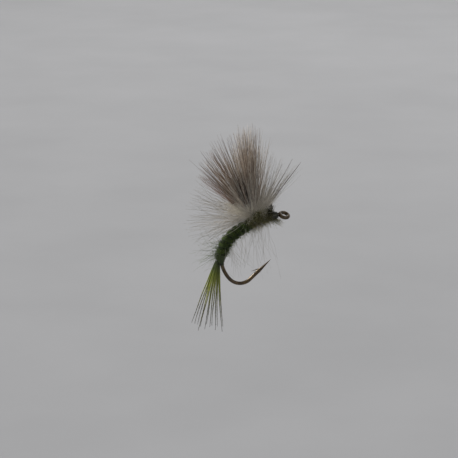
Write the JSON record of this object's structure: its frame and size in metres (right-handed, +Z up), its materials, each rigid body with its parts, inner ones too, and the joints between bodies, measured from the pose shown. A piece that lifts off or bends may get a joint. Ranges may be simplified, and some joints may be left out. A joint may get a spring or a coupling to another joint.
{
  "type": "dry fly",
  "caption": "Dry fly for trout fishing: a curved down-eye hook dressed with an upright hair wing, a dubbed thorax, a ribbed green fur abdomen and a fanned fibre tail.",
  "frame": {"origin": "centre of the hook's eye", "axes": "+Z up along the wing, with the shank towards the eye nearly level; +X forward past the eye; +Y to the left across the hook's plane"},
  "size_m": [0.0193, 0.0116, 0.0341],
  "materials": {
    "bronze_wire": "bronzed steel wire, satin, worn lighter along its outer edges",
    "dark_thread": "fine waxed tying thread, close turns",
    "green_thread": "fine tying thread, close turns",
    "green_dubbing": "twisted fur dubbing, ribbed, fine stray hairs",
    "dark_dubbing": "loose fur dubbing, scruffy",
    "olive_fibre": "soft barbed feather fibre, darker bars towards the tips",
    "dark_hair": "fine fur guard hair, slight sheen",
    "brown_hair": "fine fur guard hair, slight sheen",
    "pale_hair": "fine translucent fur hair",
    "pale_underfur": "soft crimped underfur",
    "head_varnish": "clear head cement, glossy film"
  },
  "bodies": {
    "root": {"hook": "bronze_wire", "thread_base": "dark_thread", "tail_fibres": "olive_fibre", "tail_lashing": "green_thread", "abdomen_dubbing": "green_dubbing", "abdomen_fuzz": "green_dubbing", "thorax_dubbing": "dark_dubbing", "thorax_fuzz": "dark_dubbing", "wing_stem": "dark_hair", "wing_lashing": "dark_thread", "wing_centre_hairs": "dark_hair", "wing_rear_hairs": "brown_hair", "wing_front_hairs": "pale_hair", "wing_underfur": "pale_underfur", "rear_wisps": "pale_hair", "throat_wisps": "pale_hair", "wing_butts": "dark_hair", "head_wraps": "dark_thread", "whip_finish": "dark_thread", "head_varnish": "head_varnish"}
  },
  "joints": []
}
